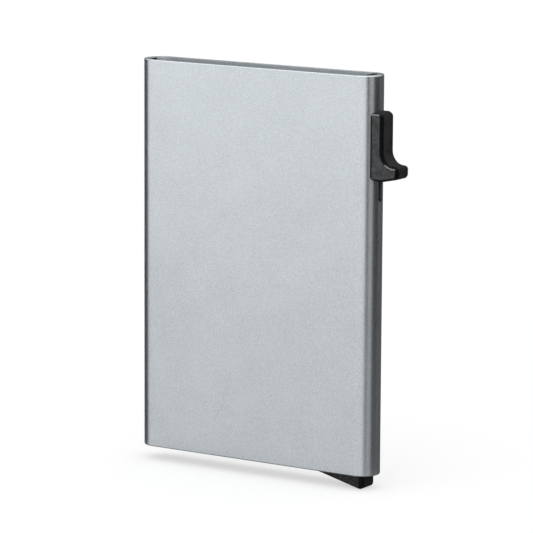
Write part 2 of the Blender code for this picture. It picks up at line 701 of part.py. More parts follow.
def build_guide_rails(frame, material):
    """Strips that fill the round ends beside the cards; the right one also guides the push rod."""
    add_mesh("guide_rail_left", case_filling(None, -CARD_EDGE, LEDGE_HEIGHT + SEAT_GAP, RAIL_TOP),
             material, parent=frame)
    bottom = ROD_BOTTOM + ROD_FOOT_HEIGHT + SEAT_GAP
    rail = add_mesh("guide_rail_right", case_filling(CARD_EDGE, None, bottom, RAIL_TOP),
                    material, parent=frame)
    groove_left = CARD_EDGE + ROD_WALL
    groove_half = ROD_GROOVE_WIDTH / 2
    groove = rectangle((groove_left, -groove_half), (HALF_WIDTH, groove_half))
    cut(rail, prism(groove, "Z", bottom - OVERRUN, CARRIAGE_BOTTOM + CARRIAGE_HEIGHT))
    pocket_half = CARRIAGE_POCKET_WIDTH / 2
    pocket = rectangle((groove_left, -pocket_half), (HALF_WIDTH, pocket_half))
    pocket_bottom = CARRIAGE_BOTTOM - SLIDER_TRAVEL - 2 * SEAT_GAP
    pocket_top = CARRIAGE_BOTTOM + CARRIAGE_HEIGHT + 2 * SEAT_GAP
    cut(rail, prism(pocket, "Z", pocket_bottom, pocket_top))


def build_felt_strips(frame, material):
    """Two glued strips on each broad wall, which hold the cards by friction."""
    outer = INNER_HALF_THICKNESS - FELT_GLUE
    inner = outer - FELT_THICKNESS
    offset = CARD_WIDTH * FELT_OFFSET_SHARE
    for side, direction in (("front", -1), ("back", 1)):
        for hand, x in (("left", -offset), ("right", offset)):
            low, high = sorted((direction * inner, direction * outer))
            strip = rectangle((x - FELT_WIDTH / 2, low), (x + FELT_WIDTH / 2, high))
            add_mesh("felt_" + side + "_" + hand,
                     prism(strip, "Z", LEDGE_HEIGHT + FELT_ABOVE_LEDGE, CASE_HEIGHT - FELT_BELOW_RIM),
                     material, parent=frame)


def build_lever_stop(frame, material):
    """Rubber block on the plate that the fingers come to rest on."""
    bottom = PLATE_TOP + PIN_GAP
    top = PIVOT_Z - FINGER_ROOT_BELOW_PIN
    right = PIVOT_X - STOP_BEFORE_PIN
    block = rectangle((right - STOP_LENGTH, -STOP_WIDTH / 2), (right, STOP_WIDTH / 2))
    return add_mesh("lever_stop", prism(block, "Z", bottom, top), material, parent=frame)


def build():
    clear_scene()
    aluminium = make_material("anodised_aluminium", (0.56, 0.59, 0.61), 0.38, 1.0)
    black = make_material("black_moulding", (0.022, 0.022, 0.024), 0.45)
    steel = make_material("bright_steel", (0.60, 0.60, 0.58), 0.28, 1.0)
    spring_steel = make_material("spring_steel", (0.42, 0.42, 0.43), 0.32, 1.0)
    felt = make_material("grey_felt", (0.10, 0.10, 0.11), 0.95)
    rubber = make_material("stop_rubber", (0.03, 0.03, 0.03), 0.85)

    case = add_empty("case_frame", (CASE_X, 0.0, CASE_Z))
    build_case_shell(case, aluminium)
    build_base_block(case, black)
    build_base_plate(case, black)
    build_base_screws(case, steel)
    build_lever_pin(case, steel)
    build_return_spring(case, spring_steel)
    build_guide_rails(case, black)
    build_felt_strips(case, felt)
    build_lever_stop(case, rubber)
    build_ejector_lever(case, black)
    build_thumb_slider(case, black)
    build_slide_carriage(case, black)
    build_push_rod(case, steel)
    build_rod_rivets(case, steel)


build()
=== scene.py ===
# Pop-up card holder: surfaces, fine edges and studio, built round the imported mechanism.

import json
import math

import bmesh
import bpy
from bpy.props import FloatProperty, FloatVectorProperty, IntProperty, PointerProperty
from mathutils import Matrix, Vector


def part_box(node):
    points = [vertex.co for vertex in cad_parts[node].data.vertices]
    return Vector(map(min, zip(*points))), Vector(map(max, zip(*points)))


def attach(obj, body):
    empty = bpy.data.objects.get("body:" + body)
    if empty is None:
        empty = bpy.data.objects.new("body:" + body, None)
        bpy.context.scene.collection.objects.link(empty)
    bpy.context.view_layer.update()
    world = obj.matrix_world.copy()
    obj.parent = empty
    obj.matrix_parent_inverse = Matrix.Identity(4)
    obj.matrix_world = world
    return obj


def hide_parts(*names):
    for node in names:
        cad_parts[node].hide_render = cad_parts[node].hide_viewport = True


bl_info = {
    "name": "Pop-up card holder",
    "version": (1, 0, 0),
    "blender": (4, 5, 0),
    "location": "View3D > Sidebar > Card holder",
    "description": "Dresses a pop-up card holder's mechanism and sets it in a small studio",
    "category": "Object",
}

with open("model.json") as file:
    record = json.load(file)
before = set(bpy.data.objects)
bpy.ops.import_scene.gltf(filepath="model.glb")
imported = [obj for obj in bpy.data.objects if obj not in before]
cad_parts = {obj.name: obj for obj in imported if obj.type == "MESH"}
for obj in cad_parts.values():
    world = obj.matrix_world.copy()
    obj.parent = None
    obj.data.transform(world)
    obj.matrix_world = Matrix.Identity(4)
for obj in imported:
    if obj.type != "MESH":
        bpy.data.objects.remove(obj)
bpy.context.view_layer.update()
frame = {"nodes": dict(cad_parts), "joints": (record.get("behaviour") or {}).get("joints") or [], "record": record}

MM = 0.001
NEAR = 0.002 * MM
FACING = 0.99  # A face looks along an axis when that part of its normal is above this
FLAT = math.radians(0.5)  # Faces that turn less than this at an edge are one flat face
SHARP = math.radians(60)  # An edge that turns more than this has not been rounded yet
CORNER = math.radians(40)  # A finished solid's edges that turn more than this are softened
QUARTER_TURN = math.pi / 2
X_AXIS, Z_AXIS = 0, 2
WHITE = (1.0, 1.0, 1.0, 1.0)
IMAGE_WIDTH = 533

# The case gives every place here: x from its middle, y from its middle plane, z from its bottom
SHELL_LOW, SHELL_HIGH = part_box("case_shell")
CASE = Vector(((SHELL_LOW.x + SHELL_HIGH.x) / 2, 0.0, SHELL_LOW.z))
HALF_WIDTH = (SHELL_HIGH.x - SHELL_LOW.x) / 2
HALF_THICKNESS = (SHELL_HIGH.y - SHELL_LOW.y) / 2
SIDE_AXIS = HALF_WIDTH - HALF_THICKNESS  # From the middle to the axis of either round side
CASE_HEIGHT = SHELL_HIGH.z - SHELL_LOW.z
SLIDER_LOW, SLIDER_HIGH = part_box("thumb_slider")
PIVOT = Vector(next(j["pos_m"] for j in frame["joints"] if j["name"] == "lever_swing"))

# Moulded finishes: colour, roughness, spacing of the marks in mm, gloss, and change of shade
ABS_FINISHES = {
    "spark_eroded_abs_rim": ("moulding", 0.6, 0.6, 0.12, 0.7),
    # The slider's broad faces are glossier, and lighter in colour partly as painted light from the front
    "spark_eroded_abs_face": ("moulding_face", 0.45, 0.7, 0.5, 0.95),
    # Darker bands beside the slider's faces; the same finish paints the shadow beside the case and the shade on
    # edges that face down or sideways
    "polished_abs_band": ("moulding_band", 0.4, 0.5, 0.12, 0.3),
    # Painted highlight: the slider's edges that face up get a light grey and full gloss for the light from above
    "polished_abs_edge": ("moulding_edge", 0.3, 0.5, 1.0, 0.3),
    "lever_moulded_abs": ("moulding", 0.45, 0.7, 0.4, 0.9),
    "lever_end_abs": ("moulding", 0.6, 0.7, 0.12, 0.5),
    # Painted shade: the toe's round upright edge is coloured dark
    "polished_toe_band": ("moulding_band", 0.4, 0.5, 0.12, 0.3),
    "matt_moulded_abs": ("inner_moulding", 0.55, 0.4, 0.4, 0.2),
    "dull_moulded_abs": ("moulding_band", 0.7, 0.4, 0.0, 0.2),
}

# Drawn finishes: colour, roughness, and scale of the marks on each axis, small along the drawing
STEEL_FINISHES = {
    "drawn_steel_strip": ("steel", 0.28, (1.0, 1.0, 0.04)),
    "drawn_steel_pin": ("steel", 0.25, (1.0, 0.04, 1.0)),
    # The push rod's dark colour stands in for the shade seen through the slot
    "blackened_steel_strip": ("blackened", 0.4, (1.0, 1.0, 0.04)),
    "drawn_spring_wire": ("spring", 0.32, (1.0, 0.1, 1.0)),
}


def from_hex(code):
    """An sRGB colour such as "CCD0D4" as linear red, green and blue."""
    channels = []
    for start in (0, 2, 4):
        value = int(code[start:start + 2], 16) / 255
        low = value <= 0.04045
        channels.append(value / 12.92 if low else ((value + 0.055) / 1.055) ** 2.4)
    return tuple(channels)


def length(name, description, millimetres):
    return FloatProperty(name=name, description=description, default=millimetres * MM,
                         min=0.0, unit="LENGTH", subtype="DISTANCE")


def angle(name, description, degrees):
    return FloatProperty(name=name, description=description, default=math.radians(degrees),
                         unit="ROTATION", subtype="ANGLE")


def number(name, description, default):
    return FloatProperty(name=name, description=description, default=default, unit="NONE")


def colour(name, description, code):
    return FloatVectorProperty(name=name, description=description, default=from_hex(code),
                               size=3, min=0.0, max=1.0, subtype="COLOR")


class CardHolderSizes(bpy.types.PropertyGroup):
    """Fine sizes of the pieces that are modelled here."""

    face_wall: length("Face wall", "Thickness of the case's broad walls", 1.0)
    side_wall: length("Side wall", "Thickness of the case at its round narrow sides", 1.6)
    rim_round: length("Rim round", "Radius of the outer edges at both rims of the case", 0.25)
    inner_rim_round: length("Inner rim round", "Radius of the inner edges at both rims", 0.05)
    slot_width: length("Slot width", "Width of the slot that the slider runs in", 1.6)
    slot_bottom: length("Slot bottom", "Height of the slot's lower end in the case", 66.0)
    slot_top: length("Slot top", "Height of the slot's upper end in the case", 80.0)
    pad_stand_off: length("Pad stand-off", "How far the thumb pad stands out of the case", 1.93)
    pad_wrap: length("Pad wrap", "How far the slider reaches back round the case's side", 1.66)
    pad_above_foot: length("Pad above foot", "Height of the pad above the top of its foot", 12.53)
    pad_corner: length("Pad corner", "Radius of the pad's upper outer corner", 1.3)
    wrap_corner: length("Wrap corner", "Radius of the pad's corners beside the case", 1.2)
    thumb_hollow: length("Thumb hollow", "Radius of the hollow between pad and foot", 3.3)
    foot_tip: length("Foot tip", "Radius of the two corners of the foot's tip", 0.85)
    foot_depth: length("Foot depth", "Height of the foot's tip", 2.9)
    foot_rise: length("Foot rise", "How much higher the foot's tip is than its root", 0.87)
    pad_crown: length("Pad crown", "How far the slider's rim falls away to its two faces", 0.46)
    pad_flat: length("Pad flat", "Width of the flat middle of the slider's outer face", 4.1)
    pad_edge: length("Pad edge", "Radius of the edges round the slider's two faces", 0.25)
    # Painted shadow: a strip this wide of each face beside the case is coloured dark, for the shade in the gap
    pad_shadow_outline: length("Pad outline", "Width of the faces' polished edge next to the case", 0.25)
    pad_rise: length("Pad rise", "How far the rim's middle stands above the slider's box", 0.2)
    slider_gap: length("Slider gap", "Running gap between the slider and the case", 0.03)
    tongue_length: length("Tongue length", "Length of the tongue inside the slider's pocket", 2.0)
    tongue_thickness: length("Tongue thickness", "Thickness of the carriage's tongue", 0.8)
    tongue_height: length("Tongue height", "Height of the carriage's tongue", 7.4)
    tongue_foot: length("Tongue foot", "Height of the tongue's foot above the carriage's", 1.3)
    toe_round: length("Toe round", "Radius of the upright front edge of the lever's toe", 1.3)
    # The plugs are dark pieces that stand in for the shade in the tube's round ends
    plug_depth: length("Plug depth", "How far the rails' plugs lie below the case's rim", 0.2)
    plug_left: length("Left plug", "Width of the left rail's plug in the tube's end", 0.35)
    plug_right: length("Right plug", "Width of the right rail's plug in the tube's end", 2.3)
    inner_edge: length("Inner edge", "Radius of the edges of the moulded inner pieces", 0.1)
    steel_edge: length("Steel edge", "Radius of the edges of the pressed steel pieces", 0.05)
    felt_edge: length("Felt edge", "Radius of the edges of the felt strips", 0.12)
    rubber_edge: length("Rubber edge", "Radius of the edges of the rubber stop", 0.25)
    pin_chamfer: length("Pin chamfer", "Rounding of the ends of the lever's pin", 0.14)
    rivet_dome: length("Rivet dome", "Rounding of the ends of the rivets", 0.22)
    screw_shank: length("Screw shank", "Radius of the screws' thread", 0.55)
    screw_head: length("Screw head", "Height of the screws' countersunk heads", 0.6)
    thread_pitch: length("Thread pitch", "From one ridge of the screws' thread to the next", 0.4)
    wire_radius: length("Wire radius", "Radius of the return spring's wire", 0.17)
    coil_radius: length("Coil radius", "Radius of the spring's turns, at the wire's middle", 1.3)
    coil_pitch: length("Coil pitch", "From one turn of the return spring to the next", 0.5)
    coil_turns: number("Coil turns", "Number of turns of the return spring", 2.25)
    round_steps: IntProperty(name="Round steps", description="Facets round the case",
                             default=192, min=32)


class CardHolderColours(bpy.types.PropertyGroup):
    """Colours of the finishes, and of the painted light and shade on some of them."""

    aluminium: colour("Aluminium", "Clear anodised bead-blasted aluminium", "D4DADE")
    # Lighter than the rim's colour, partly as painted light from the front
    moulding_face: colour("Moulding face", "Broad faces of the black slider and lever", "343537")
    moulding: colour("Moulding", "Black moulded slider and lever", "2A2A2B")
    # Darker bands of the slider's rim; also the painted shadow and shade on the slider, the toe and the guides'
    # plugs
    moulding_band: colour("Moulding band", "Polished bands beside the slider's faces", "121213")
    # Painted highlight: light grey on the slider's edges that face up
    moulding_edge: colour("Moulding edge", "Upper edges of the slider, rubbed grey", "727375")
    inner_moulding: colour("Inner moulding", "Black moulded block, plate and guides", "161617")
    steel: colour("Steel", "Bright drawn steel", "C6C6C3")
    # Painted shade: the push rod is dark for the shade seen through the slot
    blackened: colour("Blackened steel", "Push rod, blackened in hot oil", "1C1C1D")
    spring: colour("Spring", "Drawn spring wire", "A9A9AA")
    felt: colour("Felt", "Grey felt strips", "58595C")
    rubber: colour("Rubber", "Black rubber stop", "2A2A2A")
    floor: colour("Floor", "Pale studio floor", "B4B4B4")


class CardHolderStudio(bpy.types.PropertyGroup):
    """Camera and light."""

    azimuth: angle("Azimuth", "Turn of the camera from the front towards the slider", 32.536)
    elevation: angle("Elevation", "Height of the camera as an angle", 9.826)
    roll: angle("Roll", "Tilt of the camera round its own axis", 0.285)
    distance: length("Distance", "From the camera to the middle of the case", 831.2)
    focal_pixels: number("Focal length", "Focal length in pixels of the image", 3443.972)
    centre_x: number("Centre x", "Pixel column that the camera's axis meets", 260.979)
    centre_y: number("Centre y", "Pixel row that the camera's axis meets", 263.615)
    key_light: number("Key light", "Strength of the soft lamp above", 1.3)
    key_lean: angle("Key lean", "How far the lamp leans from straight down", 15)
    key_turn: angle("Key turn", "Which way the lamp leans", 25)
    key_spread: angle("Key spread", "How wide the lamp is, as an angle", 120)
    room_light: number("Room light", "Strength of the even light all round", 0.6)
    floor_glow: number("Floor glow", "Light that the floor adds where the camera sees it", 0.57)


# Helpers for modelling in edit mode

def near(a, b):
    return abs(a - b) < NEAR


def activate(piece):
    """Select one object alone and make it the active one."""
    if bpy.context.object and bpy.context.object.mode != "OBJECT":
        bpy.ops.object.mode_set(mode="OBJECT")
    bpy.ops.object.select_all(action="DESELECT")
    piece.select_set(True)
    bpy.context.view_layer.objects.active = piece


def open_piece(name):
    """Name the primitive just added, put its place in its mesh, and open it unselected."""
    piece = bpy.context.object
    piece.name = name
    piece.data.name = name
    bpy.ops.object.transform_apply(location=True, rotation=True, scale=True)
    bpy.ops.object.mode_set(mode="EDIT")
    bpy.ops.mesh.select_all(action="DESELECT")
    return piece


def close_piece(piece):
    bpy.ops.object.mode_set(mode="OBJECT")
    return piece


def add_box(name, low, high):
    """A cube primitive between two corners, open in edit mode."""
    low, high = Vector(low), Vector(high)
    bpy.ops.mesh.primitive_cube_add(size=1.0, location=(low + high) / 2, scale=high - low)
    return open_piece(name)


def add_drum(name, centre, radius, depth, steps, turn=(0.0, 0.0, 0.0)):
    """A cylinder primitive, open in edit mode."""
    bpy.ops.mesh.primitive_cylinder_add(vertices=steps, radius=radius, depth=depth,
                                        location=centre, rotation=turn)
    return open_piece(name)


def add_disc(name, centre, radius, steps):
    """A flat round primitive, open in edit mode."""
    bpy.ops.mesh.primitive_circle_add(vertices=steps, radius=radius, fill_type="NGON",
                                      location=centre)
    return open_piece(name)


def pick(kind, test):
    """Select the vertices, edges or faces of the open piece whose middle and normal pass a test."""
    bpy.ops.mesh.select_mode(type=kind)
    bpy.ops.mesh.select_all(action="DESELECT")
    mesh = bmesh.from_edit_mesh(bpy.context.object.data)
    if kind == "VERT":
        chosen = [v for v in mesh.verts if test(v.co, v.normal)]
    elif kind == "EDGE":
        chosen = [e for e in mesh.edges
                  if test((e.verts[0].co + e.verts[1].co) / 2, e.verts[0].normal)]
    else:
        chosen = [f for f in mesh.faces if test(f.calc_center_median(), f.normal)]
    for element in chosen:
        element.select_set(True)
    mesh.select_flush_mode()
    bmesh.update_edit_mesh(bpy.context.object.data)
    if not chosen:
        raise RuntimeError("nothing to pick on " + bpy.context.object.name)


def keep_picked(test):
    """Of the vertices already selected, keep those that pass a test."""
    bpy.ops.mesh.select_mode(type="VERT")
    mesh = bmesh.from_edit_mesh(bpy.context.object.data)
    for vert in mesh.verts:
        if vert.select and not test(vert.co):
            vert.select_set(False)
    mesh.select_flush_mode()
    bmesh.update_edit_mesh(bpy.context.object.data)


def move(x=0.0, y=0.0, z=0.0):
    bpy.ops.transform.translate(value=(x, y, z))


def pull_apart(axis, middle, reach):
    """Move the vertices on either side of a middle away from it along an axis."""
    for side in (1, -1):
        pick("VERT", lambda place, normal: (place[axis] - middle) * side > NEAR)
        way = [0.0, 0.0, 0.0]
        way[axis] = reach * side
        move(*way)


def round_edges(test, radius, steps):
    """Bevel the picked edges into arcs."""
    pick("EDGE", test)
    bpy.ops.mesh.bevel(offset=radius, segments=steps, affect="EDGES")


def round_sharp(radius, steps):
    """Round every edge of the open piece that is still sharp."""
    bpy.ops.mesh.select_all(action="DESELECT")
    bpy.ops.mesh.select_mode(type="EDGE")
    bpy.ops.mesh.edges_select_sharp(sharpness=SHARP)
    bpy.ops.mesh.bevel(offset=radius, segments=steps, affect="EDGES")


def combine(piece, tool, operation):
    """Cut a tool out of a piece, or join it on, and throw the tool away."""
    activate(piece)
    bpy.ops.object.modifier_add(type="BOOLEAN")
    modifier = piece.modifiers[-1]
    modifier.operation = operation
    modifier.solver = "EXACT"
    modifier.object = tool
    bpy.ops.object.modifier_apply(modifier=modifier.name)
    bpy.data.objects.remove(tool)


def soften(piece, radius, steps=3, smooth=35.0):
    """Round what sharp edges are left, then shade smooth with the flat faces kept flat."""
    activate(piece)
    if radius:
        bpy.ops.object.modifier_add(type="BEVEL")
        bevel = piece.modifiers[-1]
        bevel.width = radius
        bevel.segments = steps
        bevel.limit_method = "ANGLE"
        bevel.angle_limit = CORNER
        bevel.harden_normals = False
        bpy.ops.object.modifier_apply(modifier=bevel.name)
    bpy.ops.object.shade_smooth_by_angle(angle=math.radians(smooth))
    bpy.ops.object.modifier_add(type="WEIGHTED_NORMAL")
    weighted = piece.modifiers[-1]
    weighted.keep_sharp = True
    bpy.ops.object.modifier_apply(modifier=weighted.name)


def copy_node(node, name):
    """A copy of a construction solid, with its loose triangles merged into whole flat faces."""
    solid = frame["nodes"][node]
    piece = bpy.data.objects.new(name, solid.data.copy())
    bpy.context.scene.collection.objects.link(piece)
    piece.data.name = name
    activate(piece)
    bpy.ops.object.mode_set(mode="EDIT")
    bpy.ops.mesh.select_mode(type="VERT")
    bpy.ops.mesh.select_all(action="SELECT")
    bpy.ops.mesh.remove_doubles(threshold=NEAR)
    bpy.ops.mesh.customdata_custom_splitnormals_clear()
    bpy.ops.mesh.dissolve_limited(angle_limit=FLAT)
    return close_piece(piece)


def fit(piece, node, *materials):
    """Give a finished piece its materials and the body of the node that it replaces, and hide that node."""
    piece.data.materials.clear()
    for material in materials:
        piece.data.materials.append(material)
    record = frame["record"]
    body = next(b for b, members in record["behaviour"]["bodies"].items() if node in members)
    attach(piece, body)
    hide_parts(node)


# Materials

def set_inputs(node, values):
    for socket, value in values.items():
        node.inputs[socket].default_value = value


def add_node(tree, kind, settings=None, values=None, links=None):
    """Add a node, set its options and input values, and link sockets to its inputs."""
    node = tree.nodes.new(kind)
    for option, value in (settings or {}).items():
        setattr(node, option, value)
    set_inputs(node, values or {})
    for socket, source in (links or {}).items():
        tree.links.new(source, node.inputs[socket])
    return node


def new_material(name):
    """A new material, with its node tree, its shader and the socket that says a point's place."""
    material = bpy.data.materials.new(name)
    material.use_nodes = True
    tree = material.node_tree
    place = add_node(tree, "ShaderNodeTexCoord").outputs["Object"]
    return material, tree, tree.nodes["Principled BSDF"], place


def noise(tree, place, spacing, **values):
    """A noise on places in metres, whose marks lie about so many millimetres apart."""
    values["Scale"] = 1 / (spacing * MM)
    node = add_node(tree, "ShaderNodeTexNoise", values=values, links={"Vector": place})
    return node.outputs["Fac"]


def blend(tree, first, second, share):
    """Mix a share of a second noise into a first one."""
    node = add_node(tree, "ShaderNodeMix", values={"Factor": share},
                    links={"A": first, "B": second})
    return node.outputs["Result"]


def ramp(tree, source, low, high):
    """Spread a noise's middle range over the whole way from one value to another."""
    node = add_node(tree, "ShaderNodeMapRange",
                    values={"From Min": 0.3, "From Max": 0.7, "To Min": low, "To Max": high},
                    links={"Value": source})
    return node.outputs["Result"]


def tint(tree, shader, colour_name, darker, lighter, grain):
    """Colour a shader between two shades of one of the colours, as a grain says."""
    base = getattr(bpy.context.scene.card_holder_colours, colour_name)
    node = add_node(tree, "ShaderNodeMix", {"data_type": "RGBA"},
                    links={"Factor": ramp(tree, grain, 0.0, 1.0)})
    for socket, share in (("A", darker), ("B", lighter)):
        node.inputs[socket].default_value = (*(min(1.0, c * share) for c in base), 1.0)
    tree.links.new(node.outputs["Result"], shader.inputs["Base Color"])


def roughen(tree, shader, grain, low, high):
    """Let a grain vary a shader's roughness."""
    tree.links.new(ramp(tree, grain, low, high), shader.inputs["Roughness"])


def emboss(tree, shader, grain, strength, millimetres):
    """Let a grain raise a shader's surface."""
    bump = add_node(tree, "ShaderNodeBump",
                    values={"Strength": strength, "Distance": millimetres * MM},
                    links={"Height": grain})
    tree.links.new(bump.outputs["Normal"], shader.inputs["Normal"])


def blasted_aluminium(name, roughness):
    """Aluminium extrusion, blasted with fine glass beads and anodised clear.

    The beads leave pits of about 0.05 mm, too fine to show, so they are drawn 0.22 mm apart. They
    scatter the light into a satin sheen, and the anodic film leaves faint clouds some mm across.
    """
    material, tree, shader, place = new_material(name)
    pits = noise(tree, place, 0.22, Detail=1.0, Roughness=0.5)
    clouds = noise(tree, place, 9.0, Detail=2.0, Roughness=0.5)
    tint(tree, shader, "aluminium", 0.83, 1.17, blend(tree, pits, clouds, 0.15))
    roughen(tree, shader, pits, roughness - 0.04, roughness + 0.04)
    emboss(tree, shader, pits, 0.10, 0.02)
    shader.inputs["Metallic"].default_value = 1.0
    return material


def moulded_abs(name):
    """Black ABS from a spark-eroded mould: a fine even matt grain with a soft sheen on edges."""
    colour_name, roughness, spacing, gloss, change = ABS_FINISHES[name]
    material, tree, shader, place = new_material(name)
    grain = noise(tree, place, spacing, Detail=2.0, Roughness=0.6)
    flow = noise(tree, place, 3.5, Detail=2.0)
    tint(tree, shader, colour_name, 1 - change, 1 + change, blend(tree, grain, flow, 0.15))
    roughen(tree, shader, grain, roughness - 0.06, roughness + 0.06)
    emboss(tree, shader, grain, 0.35, 0.03)
    set_inputs(shader, {"IOR": 1.53, "Specular IOR Level": gloss})
    return material


def drawn_steel(name):
    """Steel drawn through a die: fine lines along its length, drawn 0.12 mm apart."""
    colour_name, roughness, stretch = STEEL_FINISHES[name]
    material, tree, shader, place = new_material(name)
    along = add_node(tree, "ShaderNodeMapping", values={"Scale": stretch}, links={"Vector": place})
    lines = noise(tree, along.outputs["Vector"], 0.12, Detail=3.0)
    tint(tree, shader, colour_name, 0.86, 1.05, lines)
    roughen(tree, shader, lines, roughness - 0.05, roughness + 0.08)
    emboss(tree, shader, lines, 0.15, 0.01)
    shader.inputs["Metallic"].default_value = 1.0
    return material


def pressed_felt():
    """Pressed wool felt: matt, with short fibres lying every way, drawn about 0.35 mm apart."""
    material, tree, shader, place = new_material("pressed_wool_felt")
    fibres = noise(tree, place, 0.35, Detail=6.0, Roughness=0.7, Distortion=1.5)
    tint(tree, shader, "felt", 0.6, 1.35, fibres)
    emboss(tree, shader, fibres, 0.8, 0.12)
    set_inputs(shader, {"Roughness": 0.95, "Sheen Weight": 0.35, "Sheen Roughness": 0.5})
    return material


def moulded_rubber():
    """Nitrile rubber, moulded: matt black with a slightly uneven, dusty skin."""
    material, tree, shader, place = new_material("moulded_nitrile_rubber")
    skin = noise(tree, place, 0.6, Detail=4.0)
    tint(tree, shader, "rubber", 0.75, 1.3, skin)
    roughen(tree, shader, skin, 0.75, 0.9)
    return material


def looked_at(tree):
    """1 for a ray from the camera or a reflection, and 0 for any other."""
    rays = add_node(tree, "ShaderNodeLightPath").outputs
    node = add_node(tree, "ShaderNodeMath", {"operation": "MAXIMUM"},
                    links={0: rays["Is Camera Ray"], 1: rays["Is Glossy Ray"]})
    return node.outputs["Value"]


def studio_floor():
    """Pale painted board: plain matt, with a little light of its own where the camera or a
    reflection sees it, so that it is white there and still takes the shadow."""
    material, tree, shader, _ = new_material("studio_board")
    scene = bpy.context.scene
    glow = add_node(tree, "ShaderNodeMath", {"operation": "MULTIPLY"},
                    {1: scene.card_holder_studio.floor_glow}, {0: looked_at(tree)})
    set_inputs(shader, {"Base Color": (*scene.card_holder_colours.floor, 1.0), "Roughness": 0.9,
                        "Specular IOR Level": 0.0, "Emission Color": WHITE})
    tree.links.new(glow.outputs["Value"], shader.inputs["Emission Strength"])
    return material


def card_material(name, at_start, at_end, start=0.0, end=SHELL_HIGH.z, outward=False):
    """A card that only gives its own light, such as a black flag or a white reflector.

    Its strength changes from start to end, with the height or, outward, the distance.
    """
    material, tree, shader, place = new_material(name)
    tree.nodes.remove(shader)
    if outward:
        kind, settings, output = "ShaderNodeVectorMath", {"operation": "LENGTH"}, "Value"
    else:
        kind, settings, output = "ShaderNodeSeparateXYZ", {}, "Z"
    measure = add_node(tree, kind, settings, links={"Vector": place}).outputs[output]
    strength = add_node(tree, "ShaderNodeMapRange",
                        values={"From Min": start, "From Max": end,
                                "To Min": at_start, "To Max": at_end},
                        links={"Value": measure})
    light = add_node(tree, "ShaderNodeEmission", links={"Strength": strength.outputs["Result"]})
    tree.links.new(light.outputs["Emission"], tree.nodes["Material Output"].inputs["Surface"])
    return material


class CARD_HOLDER_OT_case_shell(bpy.types.Operator):
    """Model the extruded tube, with its walls, broken edges and slot"""

    bl_idname = "card_holder.case_shell"
    bl_label = "Case shell"

    def execute(self, context):
        sizes = context.scene.card_holder_sizes
        half_step = math.pi / sizes.round_steps
        middle = CASE + Vector((0.0, 0.0, CASE_HEIGHT / 2))
        shell = add_drum("case_shell_tube", middle, HALF_THICKNESS / math.cos(half_step),
                         CASE_HEIGHT, sizes.round_steps, (0.0, 0.0, half_step))
        pull_apart(X_AXIS, CASE.x, SIDE_AXIS)
        round_sharp(sizes.rim_round, steps=4)
        pick("FACE", lambda place, normal: abs(normal.z) > FACING)
        bpy.ops.mesh.inset(thickness=sizes.face_wall - sizes.rim_round, use_even_offset=True)

        def is_mouth(place, normal):
            central = abs(place.x - CASE.x) < HALF_THICKNESS and near(place.y, 0.0)
            return central and abs(normal.z) > FACING

        for side in (1, -1):
            pick("FACE", is_mouth)
            keep_picked(lambda place: (place.x - CASE.x) * side > 0)
            move(x=(sizes.face_wall - sizes.side_wall) * side)
        pick("FACE", is_mouth)
        bpy.ops.mesh.bridge_edge_loops()
        round_sharp(sizes.inner_rim_round, steps=4)
        close_piece(shell)
        self.cut_slot(shell, sizes)
        soften(shell, 0.0)
        fit(shell, "case_shell",
            blasted_aluminium("bead_blasted_anodised_aluminium", roughness=0.33),
            blasted_aluminium("extruded_anodised_aluminium", roughness=0.42))
        for face in shell.data.polygons:
            if self.is_inside(face):
                face.material_index = 1
        return {"FINISHED"}

    def is_inside(self, face):
        """The faces of the tube's inner wall, as the extrusion press left them."""
        inward = (CASE.x - face.center.x) * face.normal.x - face.center.y * face.normal.y > 0
        upright = abs(face.normal.z) < 0.5
        return upright and inward

    def cut_slot(self, shell, sizes):
        end = sizes.slot_width / 2
        centre = CASE + Vector((HALF_WIDTH, 0.0, (sizes.slot_bottom + sizes.slot_top) / 2))
        cutter = add_drum("slot_cutter", centre, end, 4 * sizes.side_wall, steps=48,
                          turn=(0.0, QUARTER_TURN, 0.0))
        pull_apart(Z_AXIS, centre.z, (sizes.slot_top - sizes.slot_bottom) / 2 - end)
        close_piece(cutter)
        combine(shell, cutter, "DIFFERENCE")


